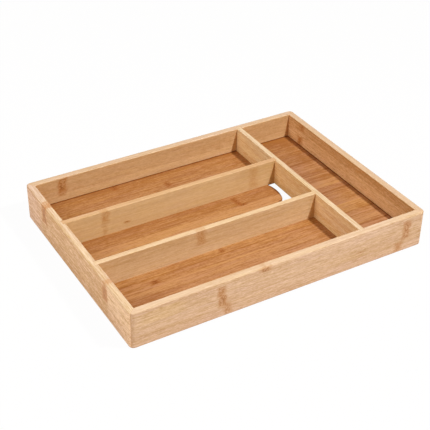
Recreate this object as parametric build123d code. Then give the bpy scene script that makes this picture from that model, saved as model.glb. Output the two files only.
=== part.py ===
from build123d import *
import math
import os

# Bamboo cutlery tray: four mitred walls round a grooved-in floor panel, one divider across the
# tray and two dividers along it, which make three long compartments and one cross compartment.
# Millimetres. X runs along the tray, Y from front to rear, Z up. The origin is the centre of the base.

# Outside of the tray
tray_length = 340.0
tray_width = 250.0
tray_height = 41.0

# Walls
wall_thickness = 8.0
corner_radius = 5.0
wall_edge_radius = 1.2

# Floor panel, its height above the base and the groove that holds it in the walls
floor_rise = 7.5
floor_thickness = 4.0
groove_depth = 4.0
groove_end_gap = 0.5
groove_top_gap = 0.8

# Dividers and the compartments that place them
divider_thickness = 6.0
divider_edge_radius = 0.6
middle_compartment_width = 72.0
cross_compartment_width = 66.5

# Housings: the slots in which the ends of the dividers stand
wall_housing_depth = 3.0
divider_housing_depth = 2.0
housing_side_gap = 0.1

# Lifting slot in the floor of the middle compartment, beside the cross divider.
# The floor ends there in two round lobes, one each side of a narrow notch.
slot_width = 5.2
slot_under_cross_divider = 4.5
slot_under_long_divider = 4.3
lobe_crown_radius = 41.0
lobe_corner_radius = 6.8
lobe_past_slot_end = 0.7
notch_width = 5.0
lobe_edge_radius = 0.8

# How far each cutting block runs past what it cuts
overrun = 5.0

# Places worked out from the sizes
inner_length = tray_length - 2 * wall_thickness
inner_width = tray_width - 2 * wall_thickness
floor_top = floor_rise + floor_thickness
divider_height = tray_height - floor_top
cross_divider_right = inner_length / 2 - cross_compartment_width
cross_divider_left = cross_divider_right - divider_thickness
long_divider_y = (middle_compartment_width + divider_thickness) / 2
housing_width = divider_thickness + 2 * housing_side_gap


def block_between(x_low, x_high, y_low, y_high, z_low, z_high):
    """A rectangular block given by its faces."""
    corner = Pos(x_low, y_low, z_low)
    low_corner_align = (Align.MIN, Align.MIN, Align.MIN)
    return corner * Box(x_high - x_low, y_high - y_low, z_high - z_low, align=low_corner_align)


def round_edges(solid, axis, radius, chosen):
    """Round the edges that run along an axis and whose middle point is chosen."""
    edges = [edge for edge in solid.edges().filter_by(axis) if chosen(edge.center())]
    return fillet(edges, radius)


def rounded_outside():
    """The whole tray as one block, with its corners and outer edges sanded round."""
    half_length = tray_length / 2
    half_width = tray_width / 2
    block = block_between(-half_length, half_length, -half_width, half_width, 0, tray_height)
    block = fillet(block.edges().filter_by(Axis.Z), corner_radius)
    faces_up = block.faces().sort_by(Axis.Z)
    rims = faces_up[-1].edges() + faces_up[0].edges()
    return fillet(rims, min(wall_edge_radius, wall_thickness / 3))


def mitred_length(outer_run, half_depth):
    """What one wall takes of the ring: a block with 45 degree ends, on the front side."""
    outer_half = outer_run / 2 + overrun
    outer_y = -half_depth - overrun
    inner_half = outer_run / 2 - wall_thickness
    inner_y = -half_depth + wall_thickness
    outline = Polyline(
        (-outer_half, outer_y),
        (outer_half, outer_y),
        (inner_half, inner_y),
        (-inner_half, inner_y),
        close=True,
    )
    return Pos(0, 0, -overrun) * extrude(make_face(outline), tray_height + 2 * overrun)


def floor_groove():
    """The space of the groove that runs round the inside of the walls."""
    half_length = inner_length / 2 + groove_depth
    half_width = inner_width / 2 + groove_depth
    groove_top = floor_top + groove_top_gap
    return block_between(-half_length, half_length, -half_width, half_width, floor_rise, groove_top)


def wall(outside, outer_run, half_depth, turn):
    """One mitred wall with its groove, made at the front and turned to its side."""
    side = Rot(0, 0, turn)
    timber = outside & (side * mitred_length(outer_run, half_depth))
    inner_face = half_depth - wall_thickness
    middle_of_inner_edge = side * Pos(0, -inner_face, tray_height)
    edge_place = middle_of_inner_edge.position
    axis = Axis.X if turn % 180 == 0 else Axis.Y

    def on_inner_edge(point):
        return (point - edge_place).length < wall_thickness / 2

    timber = round_edges(timber, axis, min(wall_edge_radius, wall_thickness / 3), on_inner_edge)
    return timber - floor_groove()


def cross_divider_housings():
    """Slots in the front and rear walls for the ends of the cross divider."""
    half_run = inner_width / 2 + wall_housing_depth
    x_low = cross_divider_left - housing_side_gap
    x_high = x_low + housing_width
    return block_between(x_low, x_high, -half_run, half_run, floor_top, tray_height + overrun)


def long_divider_housing(side):
    """The slots at both ends of one long divider, as one block from wall to cross divider."""
    x_low = -inner_length / 2 - wall_housing_depth
    x_high = cross_divider_left + divider_housing_depth
    y_low = side * long_divider_y - housing_width / 2
    y_high = y_low + housing_width
    return block_between(x_low, x_high, y_low, y_high, floor_top, tray_height + overrun)


def board_on_floor(x_low, x_high, y_low, y_high, axis):
    """A divider that stands on the floor panel, with its two top edges rounded."""
    board = block_between(x_low, x_high, y_low, y_high, floor_top, tray_height)
    top_only = floor_top + divider_height / 2
    radius = min(divider_edge_radius, divider_thickness / 3)
    return round_edges(board, axis, radius, lambda point: point.Z > top_only)


def cross_divider():
    """The divider that runs from the front wall to the rear wall."""
    half_run = inner_width / 2 + wall_housing_depth
    board = board_on_floor(cross_divider_left, cross_divider_right, -half_run, half_run, Axis.Y)
    for side in (-1, 1):
        board -= long_divider_housing(side)
    return board


def long_divider(side):
    """A divider that runs from the left wall to the cross divider."""
    x_low = -inner_length / 2 - wall_housing_depth
    x_high = cross_divider_left + divider_housing_depth
    y_low = side * long_divider_y - divider_thickness / 2
    return board_on_floor(x_low, x_high, y_low, y_low + divider_thickness, Axis.X)


def lobe_outline(crown_x, half_width):
    """The round end of one lobe: a flat crown between two tighter corners, closed by a line."""
    lean = math.asin((half_width - lobe_corner_radius) / (lobe_crown_radius - lobe_corner_radius))
    lean_degrees = math.degrees(lean)
    crown_centre = crown_x - lobe_crown_radius
    corner_x = crown_centre + (lobe_crown_radius - lobe_corner_radius) * math.cos(lean)
    corner_y = half_width - lobe_corner_radius
    quarter = 90 - lean_degrees
    crown = CenterArc((crown_centre, 0), lobe_crown_radius, -lean_degrees, 2 * lean_degrees)
    rear_corner = CenterArc((corner_x, corner_y), lobe_corner_radius, lean_degrees, quarter)
    front_corner = CenterArc((corner_x, -corner_y), lobe_corner_radius, -90, quarter)
    back_line = Line((corner_x, half_width), (corner_x, -half_width))
    return make_face([front_corner, crown, rear_corner, back_line]), corner_x


def slot_places():
    """Where the lifting slot lies: its right side, its half run, and the lobes' crown and half width."""
    right_x = cross_divider_left + slot_under_cross_divider
    half_run = middle_compartment_width / 2 + slot_under_long_divider
    crown_x = cross_divider_left - slot_width
    lobe_half = (half_run + lobe_past_slot_end - notch_width / 2) / 2
    return right_x, half_run, crown_x, lobe_half


def lobed_cut():
    """The cut that leaves the two lobes whole, with the notch between them, through the floor."""
    right_x, half_run, crown_x, lobe_half = slot_places()
    notch_half = notch_width / 2
    lobe, back_x = lobe_outline(crown_x, lobe_half)
    cut_run = 2 * (notch_width + 2 * lobe_half)
    cut = Pos((back_x + right_x) / 2, 0) * Rectangle(right_x - back_x, cut_run)
    for side in (-1, 1):
        cut -= Pos(0, side * (notch_half + lobe_half)) * lobe
    cut += Pos(back_x, 0) * Circle(notch_half)
    return Pos(0, 0, floor_rise - overrun) * extrude(cut, floor_thickness + 2 * overrun)


def closed_slot_end(side):
    """The floor beyond one end of the slot, where the lobe runs on into the panel."""
    right_x, half_run, crown_x, lobe_half = slot_places()
    back_x = crown_x - lobe_half
    outer_y = side * (half_run + lobe_half)
    y_low, y_high = sorted((side * half_run, outer_y))
    return block_between(back_x, right_x, y_low, y_high, floor_rise, floor_top)


def floor_panel():
    """The panel that lies in the groove, with the lifting slot cut through it."""
    half_length = inner_length / 2 + groove_depth - groove_end_gap
    half_width = inner_width / 2 + groove_depth - groove_end_gap
    panel = block_between(-half_length, half_length, -half_width, half_width, floor_rise, floor_top)
    panel -= lobed_cut()
    top_face = panel.faces().sort_by(Axis.Z)[-1]
    lobe_edges = top_face.edges().filter_by(GeomType.CIRCLE)
    panel = fillet(lobe_edges, min(lobe_edge_radius, floor_thickness / 3))
    for side in (-1, 1):
        panel += closed_slot_end(side)
    return panel


def write_node(name, solid):
    """Write one piece to its own file."""
    export_step(solid, f"parts/{name}.step")


def main():
    os.makedirs("parts", exist_ok=True)
    outside = rounded_outside()
    front_wall = wall(outside, tray_length, tray_width / 2, 0)
    rear_wall = wall(outside, tray_length, tray_width / 2, 180)
    left_wall = wall(outside, tray_width, tray_length / 2, -90)
    right_wall = wall(outside, tray_width, tray_length / 2, 90)
    write_node("front_wall", front_wall - cross_divider_housings())
    write_node("rear_wall", rear_wall - cross_divider_housings())
    write_node("left_wall", left_wall - long_divider_housing(-1) - long_divider_housing(1))
    write_node("right_wall", right_wall)
    write_node("cross_divider", cross_divider())
    write_node("front_long_divider", long_divider(-1))
    write_node("rear_long_divider", long_divider(1))
    write_node("floor_panel", floor_panel())


main()
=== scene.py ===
import math

import bpy
from mathutils import Matrix, Vector

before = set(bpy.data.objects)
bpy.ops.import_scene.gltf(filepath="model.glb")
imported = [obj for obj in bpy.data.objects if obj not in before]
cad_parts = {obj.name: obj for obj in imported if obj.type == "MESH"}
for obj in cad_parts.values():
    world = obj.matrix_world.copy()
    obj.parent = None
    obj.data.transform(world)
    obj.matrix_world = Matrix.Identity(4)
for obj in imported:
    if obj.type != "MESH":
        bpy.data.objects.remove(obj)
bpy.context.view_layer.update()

# Bamboo cutlery tray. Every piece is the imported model's own solid with a bamboo material of its own.
# The places in the materials are millimetres from the tray's front left corner: along X, along Y
# from the front, and height above the base.

MM = 0.001
TRAY_LENGTH = 340.0
TRAY_WIDTH = 250.0
WALL_THICKNESS = 8.0

WALL = "bamboo_wall"
DIVIDER = "bamboo_divider"
FLOOR = "bamboo_floor"

WHITE = (1.0, 1.0, 1.0, 1.0)


# Node helpers

class Nodes:
    """Builds the nodes of one tree. A value is a number, a tuple or another node's output."""

    def __init__(self, tree):
        self.tree = tree

    def feed(self, socket, value):
        if isinstance(value, bpy.types.NodeSocket):
            self.tree.links.new(value, socket)
        else:
            socket.default_value = value

    def add(self, kind, inputs, output=0, **settings):
        node = self.tree.nodes.new(kind)
        for key, value in settings.items():
            setattr(node, key, value)
        for key, value in inputs.items():
            self.feed(node.inputs[key], value)
        return node.outputs[output]

    def calc(self, operation, a, b=0.0, c=0.0):
        return self.add("ShaderNodeMath", {0: a, 1: b, 2: c}, operation=operation)

    def plus(self, a, b):
        return self.calc("ADD", a, b)

    def minus(self, a, b):
        return self.calc("SUBTRACT", a, b)

    def times(self, a, b):
        return self.calc("MULTIPLY", a, b)

    def least(self, a, b):
        return self.calc("MINIMUM", a, b)

    def most(self, a, b):
        return self.calc("MAXIMUM", a, b)

    def scaled(self, a, factor, offset):
        return self.calc("MULTIPLY_ADD", a, factor, offset)

    def apart(self, a, b):
        return self.calc("ABSOLUTE", self.minus(a, b))

    def vector(self, x, y, z):
        return self.add("ShaderNodeCombineXYZ", {0: x, 1: y, 2: z})

    def split(self, vector):
        node = self.tree.nodes.new("ShaderNodeSeparateXYZ")
        self.tree.links.new(vector, node.inputs[0])
        return node.outputs[0], node.outputs[1], node.outputs[2]

    def ramp(self, value, low, high, to_low=0.0, to_high=1.0):
        """A value eased from low..high to to_low..to_high and held outside that."""
        span = {"From Min": low, "From Max": high, "To Min": to_low, "To Max": to_high}
        inputs = {"Value": value, **span}
        return self.add("ShaderNodeMapRange", inputs, interpolation_type="SMOOTHSTEP", clamp=True)

    def noise(self, vector, detail=2.0, roughness=0.5):
        """Noise about nought, from -0.5 to 0.5."""
        inputs = {"Vector": vector, "Scale": 1.0, "Detail": detail, "Roughness": roughness}
        fac = self.add("ShaderNodeTexNoise", inputs, output="Fac")
        return self.minus(fac, 0.5)

    def mix(self, factor, a, b, blend="MIX"):
        """Mix two colours."""
        node = self.tree.nodes.new("ShaderNodeMix")
        node.data_type = "RGBA"
        node.blend_type = blend
        node.clamp_factor = True
        self.feed(node.inputs[0], factor)
        self.feed(node.inputs[6], a)
        self.feed(node.inputs[7], b)
        return node.outputs[2]

    def band(self, value, low, high, soft):
        """One between low and high, fading to nought over soft on each side."""
        rise = self.ramp(value, low - soft, low + soft)
        fall = self.ramp(value, high - soft, high + soft, 1.0, 0.0)
        return self.times(rise, fall)

    def line(self, value, place, half_width):
        """One at a place, fading to nought at half_width from it."""
        return self.ramp(self.apart(value, place), 0.0, half_width, 1.0, 0.0)


class MaterialNodes(Nodes):
    """The nodes of one new material."""

    def __init__(self, name):
        self.material = bpy.data.materials.new(name)
        self.material.use_nodes = True
        super().__init__(self.material.node_tree)
        self.shader = self.tree.nodes["Principled BSDF"]
        self.output = self.tree.nodes["Material Output"]


def gained(colour, gain):
    """A colour times a gain for each channel, kept in range."""
    red, green, blue = [min(1.0, c * g) for c, g in zip(colour, gain)]
    return (red, green, blue, 1.0)


# Bamboo

# How the colour moves from a dark fibre to a light one: blue moves most and red least.
DARK_GAIN = (0.79, 0.68, 0.48)
LIGHT_GAIN = (1.21, 1.32, 1.52)
# Strips and patches of one board also lean to pink or to yellow.
PINK_GAIN = (0.95, 0.93, 1.07, 1.0)
YELLOW_GAIN = (1.05, 1.07, 0.93, 1.0)
# A node of the cane, and the dark middle of one.
NODE_GAIN = (0.77, 0.56, 0.37)
NODE_HEART_GAIN = (0.46, 0.29, 0.18)
# The glue line of a mitre on top, and down the corner that line with painted shade on the rounded
# corner; painted shade on the lower edge of the walls and in the seam between the panel and the
# walls; and the rounded edge of the slot, sanded orange brown with painted shade where it turns down.
MITRE_GAIN = (0.88, 0.76, 0.62)
CORNER_GLUE_AND_SHADE_GAIN = (0.72, 0.52, 0.36)
FOOT_SHADE_GAIN = (0.74, 0.55, 0.42)
SEAM_SHADE_GAIN = (0.66, 0.33, 0.12)
RIM_SANDED_AND_SHADE_GAIN = (0.86, 0.58, 0.30)

# Length and width in millimetres of each kind of mark that the fibres make.
SPECKLE = (2.4, 1.0)
SHORT = (8.0, 0.95)
FINE = (48.0, 0.9)
MEDIUM = (95.0, 2.4)
BROAD = (170.0, 7.0)
MARKS = (SPECKLE, SHORT, FINE, MEDIUM, BROAD)
# Length and width of the slow bends in the fibres, and of the blots of pink or yellow.
BENDS = (90.0, 35.0)
HUE_BLOTS = (38.0, 4.0)
# Specks and blots that break up a node, and the length, width and reach of its waver.
NODE_SPECK = 1.7
NODE_BLOT = 4.2
NODE_WAVER = (25.0, 7.0, 5.0)

# How far in millimetres the edge of a strip and of a patch fades, and the glue line of a strip.
STRIP_FADE = 0.3
PATCH_FADE_ALONG = 9.0
PATCH_FADE_ACROSS = 1.0
GLUE_LINE_HALF_WIDTH = 0.6
GLUE_LINE_LIFT = -0.06
# How much of a board's strips and patches shows on its top edge, and the upward share of the
# normal from which a surface begins to count as the top, and from which it does in full.
LIFT_ON_TOP = 0.3
TOP_FACING = (0.35, 0.85)

# Half widths of the mitres' glue lines on top and down the corners, where the line also carries
# painted shade on the rounded corner, and how strong they are.
MITRE_HALF_WIDTH = 0.5
CORNER_GLUE_AND_SHADE_HALF_WIDTH = 1.3
MITRE_STRENGTH = 0.5
# The walls' lower edge has painted shade, dark up to the first height and plain from the second.
FOOT_SHADE_FADE = (0.4, 1.7)
FOOT_SHADE_STRENGTH = 0.7
# The panel's seam has painted shade, dark up to the first distance from the walls and plain from the
# second.
SEAM_SHADE_FADE = (0.3, 1.3)
SEAM_SHADE_STRENGTH = 0.75
# The slot's rim sets in between these heights, and where the surface turns away from the level.
RIM_HEIGHTS = (9.5, 10.5)
RIM_FACING = (0.75, 0.99)
RIM_STRENGTH = 0.8

# The lacquer: its shine, how far the fibres change its roughness, and its relief in metres.
LACQUER_SPECULAR = 0.12
ROUGHNESS_BY_FIBRE = 0.20
RELIEF_STRENGTH = 0.2
RELIEF_DEPTH = 0.0002


class Bamboo:
    """A board of glued bamboo strips: fibres, streaks, strip tones, nodes and its paler top edge.

    side and top are colours. side_grain and top_grain say how strong the speckle, short, fine,
    medium and broad marks are. strips are (low, high, lift, lean) across the board's face, and
    patches are (from, to, low, high, lift, lean) with their reach along it first. Some patches are
    painted shade, among them painted cast shadows, and not the board's tone. A lift of one is
    the whole way from a dark fibre to a light one, and a lean is to pink above nought. nodes are
    (place along, low, high, half width, depth, heart), roughness is the lacquer's, lean is how
    strong the blots of pink or yellow are, and bend is how far in millimetres the fibres wander.
    seed and its multiples only move each board's patterns to a place of their own.
    """

    def __init__(self, name, slot, along_axis, seed, side, side_grain, top=None, top_grain=None,
                 strips=(), patches=(), nodes=(), roughness=0.5, lean=0.25, bend=1.6, mitred=False):
        g = MaterialNodes(name)
        self.g = g
        self.slot = slot
        self.seed = seed
        place = g.add("ShaderNodeTexCoord", {}, output="Object")
        px, py, pz = g.split(place)
        self.x = g.scaled(px, 1 / MM, TRAY_LENGTH / 2)
        self.y = g.scaled(py, 1 / MM, TRAY_WIDTH / 2)
        self.z = g.times(pz, 1 / MM)
        self.along, self.across = (self.x, self.y) if along_axis == "X" else (self.y, self.x)
        self.face = self.y if slot == FLOOR else self.z

        self.bend_fibres(bend)
        marks = [self.streaks(*size, shift) for shift, size in enumerate(MARKS)]
        lifted, leaned = self.tones_and_painted_shade(strips, patches, lean)
        colour = self.toned(side, g.plus(self.summed(marks, side_grain), lifted), leaned)
        if top is not None:
            top_level = g.plus(self.summed(marks, top_grain), g.times(lifted, LIFT_ON_TOP))
            top_colour = self.toned(top, top_level, leaned)
            self.up = g.ramp(self.facing_up(), *TOP_FACING)
            colour = g.mix(self.up, colour, top_colour)
        colour = self.with_nodes(colour, side, nodes)
        # Mitred walls get glue lines with painted shade down the corners, and painted shade at their
        # foot.
        if mitred:
            colour = self.with_foot_shade(self.with_mitres_and_corner_shade(colour, side), side)
        # The floor gets its slot's rim, sanded colour with painted shade, and painted shade in its
        # seam.
        if slot == FLOOR:
            colour = self.with_seam_shade(self.with_sanded_and_shaded_rim(colour, side), side)
        g.feed(g.shader.inputs["Base Color"], colour)
        self.finish_surface(marks, roughness)
        self.material = g.material

    def facing_up(self):
        """One where the surface faces up, nought where it is upright."""
        g = self.g
        return g.split(g.add("ShaderNodeNewGeometry", {}, output="Normal"))[2]

    def bend_fibres(self, reach):
        """Fibres wander a little from a straight line, by up to half the reach."""
        g = self.g
        length, width = BENDS
        vector = g.vector(
            g.times(self.along, 1 / length),
            g.times(self.across, 1 / width),
            g.plus(self.z, self.seed),
        )
        bend = g.times(g.noise(vector, 1.0), reach)
        self.across_bent = g.plus(self.across, bend)
        self.z_bent = g.plus(self.z, bend)

    def streaks(self, length, width, shift):
        """Noise drawn out along the fibres, about nought."""
        g = self.g
        vector = g.vector(
            g.scaled(self.along, 1 / length, self.seed + 7.3 * shift),
            g.scaled(self.across_bent, 1 / width, self.seed * 1.7),
            g.scaled(self.z_bent, 1 / width, self.seed * 2.3),
        )
        return g.noise(vector)

    def summed(self, marks, strengths):
        """The tone that all marks make together, about a half."""
        g = self.g
        total = 0.5
        for mark, strength in zip(marks, strengths):
            total = g.scaled(mark, strength, total)
        return total

    def tones_and_painted_shade(self, strips, patches, lean):
        """How far strips and patches lift the tone, some patches as painted shade, and lean it to pink.
        """
        g = self.g
        length, width = HUE_BLOTS
        vector = g.vector(
            g.scaled(self.along, 1 / length, self.seed + 3.1),
            g.scaled(self.across_bent, 1 / width, self.seed),
            g.scaled(self.z_bent, 1 / width, self.seed * 0.6),
        )
        lifted = 0.0
        leaned = g.scaled(g.noise(vector), 3.0 * lean, 0.5)
        for low, high, lift, to_pink in strips:
            within = g.band(self.face, low, high, STRIP_FADE)
            lifted = g.scaled(within, lift, lifted)
            glue_line = g.line(self.face, high, GLUE_LINE_HALF_WIDTH)
            lifted = g.scaled(glue_line, GLUE_LINE_LIFT, lifted)
            leaned = g.scaled(within, to_pink, leaned)
        for start, end, low, high, lift, to_pink in patches:
            reach = g.band(self.along, start, end, PATCH_FADE_ALONG)
            within = g.times(reach, g.band(self.face, low, high, PATCH_FADE_ACROSS))
            lifted = g.scaled(within, lift, lifted)
            leaned = g.scaled(within, to_pink, leaned)
        return lifted, leaned

    def toned(self, colour, level, leaned):
        """The board's colour with its fibres' tone and its lean to pink or to yellow."""
        g = self.g
        shade = g.mix(level, gained(colour, DARK_GAIN), gained(colour, LIGHT_GAIN))
        return g.mix(1.0, shade, g.mix(leaned, YELLOW_GAIN, PINK_GAIN), "MULTIPLY")

    def blots_of(self, size):
        """Noise that is alike in every direction, with blots of one size in millimetres."""
        g = self.g
        places = [g.scaled(place, 1 / size, self.seed) for place in (self.along, self.across, self.z)]
        return g.noise(g.vector(*places), 1.0)

    def with_nodes(self, colour, base, nodes):
        """Nodes of the cane: ragged orange-brown bands of specks across a strip, some dark at heart."""
        if not nodes:
            return colour
        g = self.g
        specks = self.blots_of(NODE_SPECK)
        blots = self.blots_of(NODE_BLOT)
        # Specks lead in the mottle inside a node, and blots in the raggedness of its outline.
        mottle = g.ramp(g.plus(specks, g.times(blots, 0.6)), -0.26, 0.26)
        ragged = g.plus(g.times(blots, 1.3), g.times(specks, 0.5))
        length, width, reach = NODE_WAVER
        slow = g.vector(
            g.times(self.along, 1 / length),
            g.times(self.across, 1 / width),
            g.times(self.z, 1 / width),
        )
        wavy = g.plus(self.along, g.times(g.noise(slow), reach))
        for centre, low, high, half_width, depth, heart in nodes:
            off_along = g.times(g.minus(wavy, centre), 1 / half_width)
            off_face = g.times(g.minus(self.face, (low + high) / 2), 2 / (high - low))
            to_strip_edge = g.apart(off_face, 0.0)
            off = g.most(g.apart(off_along, 0.0), g.calc("POWER", to_strip_edge, 3.0))
            off = g.plus(off, ragged)
            in_strip = g.ramp(to_strip_edge, 0.9, 1.1, 1.0, 0.0)
            body = g.times(g.ramp(off, 0.25, 1.15, 1.0, 0.0), in_strip)
            # Part of the depth is even all over the node, and the rest follows the mottle.
            fill = g.times(body, g.scaled(mottle, 0.90 * depth, 0.35 * depth))
            colour = g.mix(fill, colour, gained(base, NODE_GAIN))
            if heart > 0:
                inner = g.ramp(off, 0.0, 0.7, 1.0, 0.0)
                core = g.times(inner, g.ramp(mottle, 0.25, 0.85, 0.0, heart))
                colour = g.mix(core, colour, gained(base, NODE_HEART_GAIN))
        return colour

    def from_outside(self):
        """How far a point lies from the tray's two ends and from its two sides."""
        g = self.g
        from_ends = g.minus(TRAY_LENGTH / 2, g.apart(self.x, TRAY_LENGTH / 2))
        from_sides = g.minus(TRAY_WIDTH / 2, g.apart(self.y, TRAY_WIDTH / 2))
        return from_ends, from_sides

    def with_mitres_and_corner_shade(self, colour, base):
        """The mitres' glue line on top, and down the corners that line darkened further with painted
        shade.
        """
        g = self.g
        from_ends, from_sides = self.from_outside()
        past = g.minus(from_ends, from_sides)
        on_top = g.times(g.line(past, 0.0, MITRE_HALF_WIDTH), self.up)
        colour = g.mix(g.times(on_top, MITRE_STRENGTH), colour, gained(base, MITRE_GAIN))
        corner_glue_and_shade = g.times(g.line(past, 0.0, CORNER_GLUE_AND_SHADE_HALF_WIDTH), g.minus(1.0, self.up))
        return g.mix(g.times(corner_glue_and_shade, MITRE_STRENGTH), colour, gained(base, CORNER_GLUE_AND_SHADE_GAIN))

    def with_foot_shade(self, colour, base):
        """Painted shade along the lower edge of the walls, where they meet the ground."""
        g = self.g
        foot_shade = g.ramp(self.z, *FOOT_SHADE_FADE, FOOT_SHADE_STRENGTH, 0.0)
        return g.mix(foot_shade, colour, gained(base, FOOT_SHADE_GAIN))

    def with_seam_shade(self, colour, base):
        """Painted shade: the dark line where the floor panel goes into the walls."""
        g = self.g
        from_ends, from_sides = self.from_outside()
        off_wall = g.minus(g.least(from_ends, from_sides), WALL_THICKNESS)
        seam_shade = g.ramp(off_wall, *SEAM_SHADE_FADE, SEAM_SHADE_STRENGTH, 0.0)
        return g.mix(seam_shade, colour, gained(base, SEAM_SHADE_GAIN))

    def with_sanded_and_shaded_rim(self, colour, base):
        """The rounded edge of the slot, sanded to a more orange brown, with painted shade where it
        turns down.
        """
        g = self.g
        near_top = g.ramp(self.z, *RIM_HEIGHTS)
        rounded = g.ramp(self.facing_up(), *RIM_FACING, RIM_STRENGTH, 0.0)
        return g.mix(g.times(near_top, rounded), colour, gained(base, RIM_SANDED_AND_SHADE_GAIN))

    def finish_surface(self, marks, roughness):
        """Satin lacquer that follows the fibres a little, in its gloss and in its relief."""
        g = self.g
        short = marks[MARKS.index(SHORT)]
        fine = marks[MARKS.index(FINE)]
        g.feed(g.shader.inputs["Roughness"], g.scaled(fine, ROUGHNESS_BY_FIBRE, roughness))
        g.shader.inputs["Specular IOR Level"].default_value = LACQUER_SPECULAR
        height = g.plus(g.times(fine, 0.5), g.times(short, 0.5))
        relief = {"Strength": RELIEF_STRENGTH, "Distance": RELIEF_DEPTH, "Height": height}
        g.feed(g.shader.inputs["Normal"], g.add("ShaderNodeBump", relief))


def dress(node, board):
    """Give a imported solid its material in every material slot."""
    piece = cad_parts[node]
    if not piece.material_slots:
        piece.data.materials.append(board.material)
    for held in piece.material_slots:
        held.material = board.material


dress("front_wall", Bamboo(
    "bamboo_front_wall", WALL, along_axis="X", seed=1.3,
    side=(0.705, 0.487, 0.303), side_grain=(0.80, 1.40, 1.05, 0.50, 0.20),
    top=(0.72, 0.535, 0.348), top_grain=(0.28, 0.70, 0.70, 0.42, 0.22),
    strips=[(-1.0, 12.0, -0.06, 0.12)],
    patches=[
        (8.0, 55.0, 24.0, 37.0, 0.0, -0.30),
        (180.0, 300.0, 30.0, 42.0, 0.12, 0.05),
        (235.0, 345.0, 9.0, 21.0, -0.06, 0.0),
    ],
    nodes=[
        (95.5, 24.0, 36.5, 5.5, 1.20, 0.15),
        (97.5, 12.0, 26.0, 6.5, 1.20, 0.70),
        (102.0, 1.0, 14.0, 6.0, 0.85, 0.15),
        (145.0, 35.5, 41.2, 7.0, 1.00, 0.60),
        (317.0, 13.0, 37.5, 6.0, 1.10, 0.55),
        (308.0, 1.0, 13.5, 6.5, 0.85, 0.0),
        (259.5, 16.5, 18.5, 4.0, 1.00, 0.40),
        (255.0, 7.5, 9.5, 4.0, 0.50, 0.20),
    ],
    mitred=True))
dress("rear_wall", Bamboo(
    "bamboo_rear_wall", WALL, along_axis="X", seed=5.1,
    side=(0.614, 0.388, 0.190), side_grain=(0.75, 0.95, 0.35, 0.30, 0.45),
    top=(0.684, 0.502, 0.330), top_grain=(0.28, 0.70, 0.70, 0.42, 0.22),
    strips=[(-1.0, 21.0, 0.15, -0.08), (30.0, 42.0, -0.06, 0.0)],
    patches=[(-10.0, 22.0, 8.0, 42.0, -0.10, 0.0)],
    nodes=[
        (38.5, 23.0, 41.0, 6.5, 1.40, 1.00),
        (37.5, 18.0, 25.0, 6.0, 0.90, 0.20),
    ],
    mitred=True))
dress("left_wall", Bamboo(
    "bamboo_left_wall", WALL, along_axis="Y", seed=9.7,
    side=(0.725, 0.485, 0.288), side_grain=(1.50, 2.10, 1.60, 0.80, 0.20),
    top=(0.717, 0.536, 0.351), top_grain=(0.34, 1.10, 1.50, 0.95, 0.28),
    strips=[(-1.0, 12.0, 0.02, 0.0)],
    patches=[
        (210.0, 262.0, -5.0, 45.0, 0.04, 0.28),
        (52.0, 210.0, -5.0, 45.0, -0.20, -0.08),
        (-12.0, 50.0, 17.0, 45.0, 0.24, -0.15),
    ],
    nodes=[
        (200.0, 19.0, 42.0, 8.0, 1.90, 1.20),
        (53.5, 34.0, 42.0, 5.5, 0.80, 0.0),
        (53.5, 19.0, 37.0, 7.0, 1.80, 0.60),
    ],
    bend=0.6, mitred=True))
dress("right_wall", Bamboo(
    "bamboo_right_wall", WALL, along_axis="Y", seed=14.9,
    side=(0.703, 0.438, 0.210), side_grain=(1.30, 1.90, 1.15, 0.60, 0.40),
    top=(0.70, 0.522, 0.351), top_grain=(0.26, 0.56, 0.60, 0.36, 0.20),
    strips=[
        (-1.0, 20.0, 0.26, 0.0),
        (20.0, 30.0, 0.10, 0.0),
        (30.0, 42.0, -0.20, 0.0),
        (38.8, 40.2, -0.40, 0.0),
    ],
    patches=[
        (230.0, 250.0, 0.0, 20.0, -0.25, 0.0),
        (-12.0, 24.0, 0.0, 30.0, -0.18, 0.0),
    ],
    nodes=[
        (214.0, 31.0, 41.0, 6.5, 1.00, 0.55),
        (217.0, 10.0, 24.5, 6.5, 1.10, 0.45),
    ],
    mitred=True))
dress("cross_divider", Bamboo(
    "bamboo_cross_divider", DIVIDER, along_axis="Y", seed=21.5,
    side=(0.90, 0.627, 0.337), side_grain=(0.80, 1.20, 0.70, 0.40, 0.35),
    top=(0.723, 0.557, 0.357), top_grain=(0.28, 0.98, 1.26, 0.70, 0.28),
    strips=[(-1.0, 19.5, -0.18, 0.0)],
    patches=[
        (84.0, 166.0, 8.0, 42.0, -0.18, 0.0),
        (167.0, 245.0, 21.0, 42.0, 0.03, 0.0),
        (5.0, 83.0, 20.0, 33.0, -0.10, 0.20),
    ]))
dress("front_long_divider", Bamboo(
    "bamboo_front_divider", DIVIDER, along_axis="X", seed=27.2,
    side=(0.755, 0.548, 0.310), side_grain=(0.50, 0.80, 0.60, 0.50, 0.35),
    top=(0.762, 0.573, 0.352), top_grain=(0.28, 0.70, 0.70, 0.42, 0.22),
    strips=[(-1.0, 20.5, 0.08, 0.0)],
    patches=[
        (-10.0, 108.0, 29.0, 42.0, -0.10, 0.0),
        # Painted shadow that the cross divider casts on this divider's right-hand end.
        (256.0, 275.0, -5.0, 45.0, -0.35, 0.0),
    ],
    nodes=[(120.5, 22.0, 42.0, 7.0, 0.85, 0.0)]))
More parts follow.
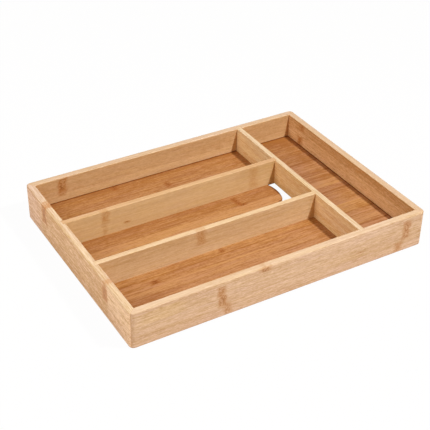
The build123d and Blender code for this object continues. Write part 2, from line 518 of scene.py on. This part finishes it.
dress("rear_long_divider", Bamboo(
    "bamboo_rear_divider", DIVIDER, along_axis="X", seed=33.8,
    side=(0.726, 0.518, 0.270), side_grain=(0.34, 0.55, 0.42, 0.42, 0.34),
    top=(0.664, 0.430, 0.229), top_grain=(0.28, 0.70, 0.70, 0.42, 0.22),
    strips=[(-1.0, 20.0, -0.06, 0.0)],
    patches=[
        (210.0, 265.0, 27.0, 42.0, -0.12, 0.0),
        # Painted shadow that the cross divider casts on this divider's right-hand end.
        (256.0, 275.0, -5.0, 45.0, -0.28, 0.0),
    ],
    nodes=[
        (51.5, 25.0, 42.0, 5.5, 0.80, 0.0),
        (50.5, 11.0, 25.0, 4.0, 0.50, 0.0),
        (76.0, 18.5, 21.5, 5.0, 1.00, 0.80),
        (231.5, 11.0, 42.0, 7.5, 0.50, 0.0),
    ]))
# Reach along the tray of the floor's patches in the cross compartment, which end past its wall so
# that they don't fade before it, and of the painted shade on the floor beside the cross divider.
CROSS = (264.0, 350.0)
SHADE_BESIDE_CROSS = (242.0, 270.0)

dress("floor_panel", Bamboo(
    "bamboo_floor", FLOOR, along_axis="X", seed=41.4,
    side=(0.424, 0.203, 0.077), side_grain=(1.25, 1.90, 2.00, 1.15, 0.55),
    strips=[
        (0.0, 24.0, -0.05, 0.10),
        (24.0, 40.0, 0.02, 0.10),
        (40.0, 47.5, 0.14, 0.20),
        (47.5, 49.5, 0.0, 0.10),
        (49.5, 62.0, 0.20, 0.05),
        (62.0, 71.6, 0.0, 0.05),
        (71.8, 73.5, -0.62, 0.0),
        (73.5, 89.0, 0.0, -0.25),
        (89.0, 108.0, 0.10, 0.10),
        (108.0, 126.0, -0.04, 0.20),
        (126.0, 138.6, 0.36, -0.25),
        (138.6, 151.0, -0.18, 0.0),
        (151.0, 170.0, -0.30, 0.05),
        (170.0, 178.7, -0.05, 0.10),
        (178.7, 182.0, -0.25, 0.10),
        (182.0, 205.0, 0.0, 0.10),
        (205.0, 215.0, 0.0, 0.0),
        (215.0, 226.0, -0.08, 0.0),
        (226.0, 236.0, -0.20, -0.05),
        (236.0, 250.0, -0.40, -0.05),
    ],
    patches=[
        (*CROSS, 38.0, 238.0, 0.01, 0.10),
        (*CROSS, 78.0, 92.0, 0.28, 0.0),
        (*CROSS, 148.0, 172.0, 0.22, 0.0),
        (-10.0, 78.0, 36.0, 51.5, -0.20, 0.20),
        # Painted shade on the floor next to the left wall, in the middle and rear compartments.
        (-10.0, 24.0, 89.0, 242.0, -0.20, 0.0),
        # Painted shade on the floor beside the cross divider, deepest in the front compartment.
        (*SHADE_BESIDE_CROSS, 14.0, 84.0, -0.26, 0.0),
        (*SHADE_BESIDE_CROSS, 84.0, 250.0, -0.14, 0.0),
        # Painted shade on the floor of the cross compartment as it nears the right wall.
        (314.0, 324.0, 10.0, 240.0, -0.30, -0.10),
        (264.0, 303.0, 88.0, 183.0, 0.04, 0.35),
        (*CROSS, 180.5, 182.3, -0.45, 0.0),
        (*CROSS, 206.0, 250.0, -0.12, 0.0),
        (*CROSS, 5.0, 71.0, 0.11, 0.22),
        (*CROSS, 5.0, 180.0, 0.16, 0.08),
        (284.0, 350.0, 49.0, 112.0, -0.06, -0.28),
        (*CROSS, 45.5, 48.5, -0.85, 0.0),
        (*CROSS, 115.0, 117.5, -0.45, 0.0),
        (*CROSS, 155.0, 158.0, -0.45, 0.10),
    ],
    nodes=[
        (59.0, 62.0, 68.5, 7.0, 1.2, 1.0),
        (142.0, 74.0, 84.0, 4.0, 0.8, 0.6),
        (202.5, 141.0, 158.0, 4.0, 1.2, 0.8),
        (205.5, 138.0, 143.0, 6.0, 1.2, 1.0),
        (98.0, 233.0, 244.0, 6.0, 1.0, 0.8),
        (154.0, 211.0, 224.0, 5.0, 0.9, 0.7),
    ],
    roughness=0.42, lean=0.6, bend=0.4))


# Ground, light and camera

# The middle of the tray, which the lamps and the camera point at, in metres like all that follows.
TRAY_MIDDLE = (0.0, 0.0, 0.02)

GROUND_HALF_WIDTH = 6.0
# The ground lies this far under the tray, so that their faces don't meet.
GROUND_DROP = 0.0002
GROUND_GREY = (0.85, 0.85, 0.85, 1.0)
# How much of the ground's own white shows where it is seen directly. The rest keeps the shadow.
GROUND_GLOW = 0.97

LAMP_COLOUR = (1.0, 1.03, 1.05)
AMBIENT_COLOUR = (1.0, 0.48, 0.15, 1.0)
AMBIENT_STRENGTH = 0.25


def seen_directly(g):
    """One for rays from the camera and for what glossy and clear surfaces show."""
    path = g.tree.nodes.new("ShaderNodeLightPath")
    rays = g.most(path.outputs["Is Camera Ray"], path.outputs["Is Glossy Ray"])
    return g.most(rays, path.outputs["Is Transmission Ray"])


def ground():
    """A pale floor that looks white and keeps the tray's shadow."""
    half = GROUND_HALF_WIDTH
    corners = [(-half, -half, 0), (half, -half, 0), (half, half, 0), (-half, half, 0)]
    mesh = bpy.data.meshes.new("ground")
    mesh.from_pydata(corners, [], [(0, 1, 2, 3)])
    floor = bpy.data.objects.new("ground", mesh)
    bpy.context.scene.collection.objects.link(floor)
    g = MaterialNodes("ground_white")
    g.shader.inputs["Base Color"].default_value = GROUND_GREY
    g.shader.inputs["Roughness"].default_value = 0.9
    g.shader.inputs["Specular IOR Level"].default_value = 0.0
    glow = g.add("ShaderNodeEmission", {"Color": WHITE, "Strength": 1.0})
    share = g.times(seen_directly(g), GROUND_GLOW)
    both = g.add("ShaderNodeMixShader", {0: share, 1: g.shader.outputs[0], 2: glow})
    g.feed(g.output.inputs["Surface"], both)
    mesh.materials.append(g.material)
    floor.location.z = -GROUND_DROP


def world_light():
    """Even warm light from all round, plain white where the camera sees it."""
    world = bpy.data.worlds.new("studio")
    bpy.context.scene.world = world
    world.use_nodes = True
    g = Nodes(world.node_tree)
    background = g.tree.nodes["Background"]
    direct = seen_directly(g)
    span = {"Value": direct, "To Min": AMBIENT_STRENGTH, "To Max": 1.0}
    g.feed(background.inputs["Strength"], g.add("ShaderNodeMapRange", span))
    g.feed(background.inputs["Color"], g.mix(direct, AMBIENT_COLOUR, WHITE))


def lamp(name, place, size, power, even=False):
    """A round area lamp that shines from place at the tray, with no loss over distance if even."""
    data = bpy.data.lights.new(name, "AREA")
    data.shape = "DISK"
    data.size = size
    data.energy = power
    data.color = LAMP_COLOUR
    if even:
        data.use_nodes = True
        tree = data.node_tree
        falloff = tree.nodes.new("ShaderNodeLightFalloff")
        falloff.inputs["Strength"].default_value = 1.0
        tree.links.new(falloff.outputs["Constant"], tree.nodes["Emission"].inputs["Strength"])
    light = bpy.data.objects.new(name, data)
    bpy.context.scene.collection.objects.link(light)
    light.location = place
    aim = Vector(TRAY_MIDDLE) - Vector(place)
    light.rotation_euler = aim.to_track_quat("-Z", "Y").to_euler()


def camera():
    """The photograph's own camera, from a pinhole fit to the tray's edges."""
    azimuth = math.radians(-30.766)
    elevation = math.radians(34.143)
    roll = math.radians(0.855)
    focal_px = 1022.693
    distance = 1.08394
    centre_px = Vector((221.498, 213.454))
    middle_px = 214.5
    frame_px = 430

    back = Vector((
        math.sin(azimuth) * math.cos(elevation),
        -math.cos(azimuth) * math.cos(elevation),
        math.sin(elevation),
    ))
    level_right = Vector((math.cos(azimuth), math.sin(azimuth), 0.0))
    level_up = back.cross(level_right)
    right = math.cos(roll) * level_right + math.sin(roll) * level_up
    up = -math.sin(roll) * level_right + math.cos(roll) * level_up
    per_px = distance / focal_px
    eye = Vector(TRAY_MIDDLE) + back * distance
    eye -= right * (centre_px.x - middle_px) * per_px
    eye += up * (centre_px.y - middle_px) * per_px

    data = bpy.data.cameras.new("camera")
    data.sensor_width = 36.0
    data.lens = data.sensor_width * focal_px / frame_px
    data.clip_start = 0.05
    data.clip_end = 50.0
    view = bpy.data.objects.new("camera", data)
    bpy.context.scene.collection.objects.link(view)
    view.matrix_world = Matrix((
        (right.x, up.x, back.x, eye.x),
        (right.y, up.y, back.y, eye.y),
        (right.z, up.z, back.z, eye.z),
        (0.0, 0.0, 0.0, 1.0),
    ))
    bpy.context.scene.camera = view


ground()
world_light()
lamp("key", place=(0.307, -0.45, 0.82), size=0.07, power=8.8, even=True)
lamp("fill", place=(-1.43, 0.0, 1.02), size=1.2, power=13.8)
camera()
bpy.context.scene.view_settings.view_transform = "Standard"
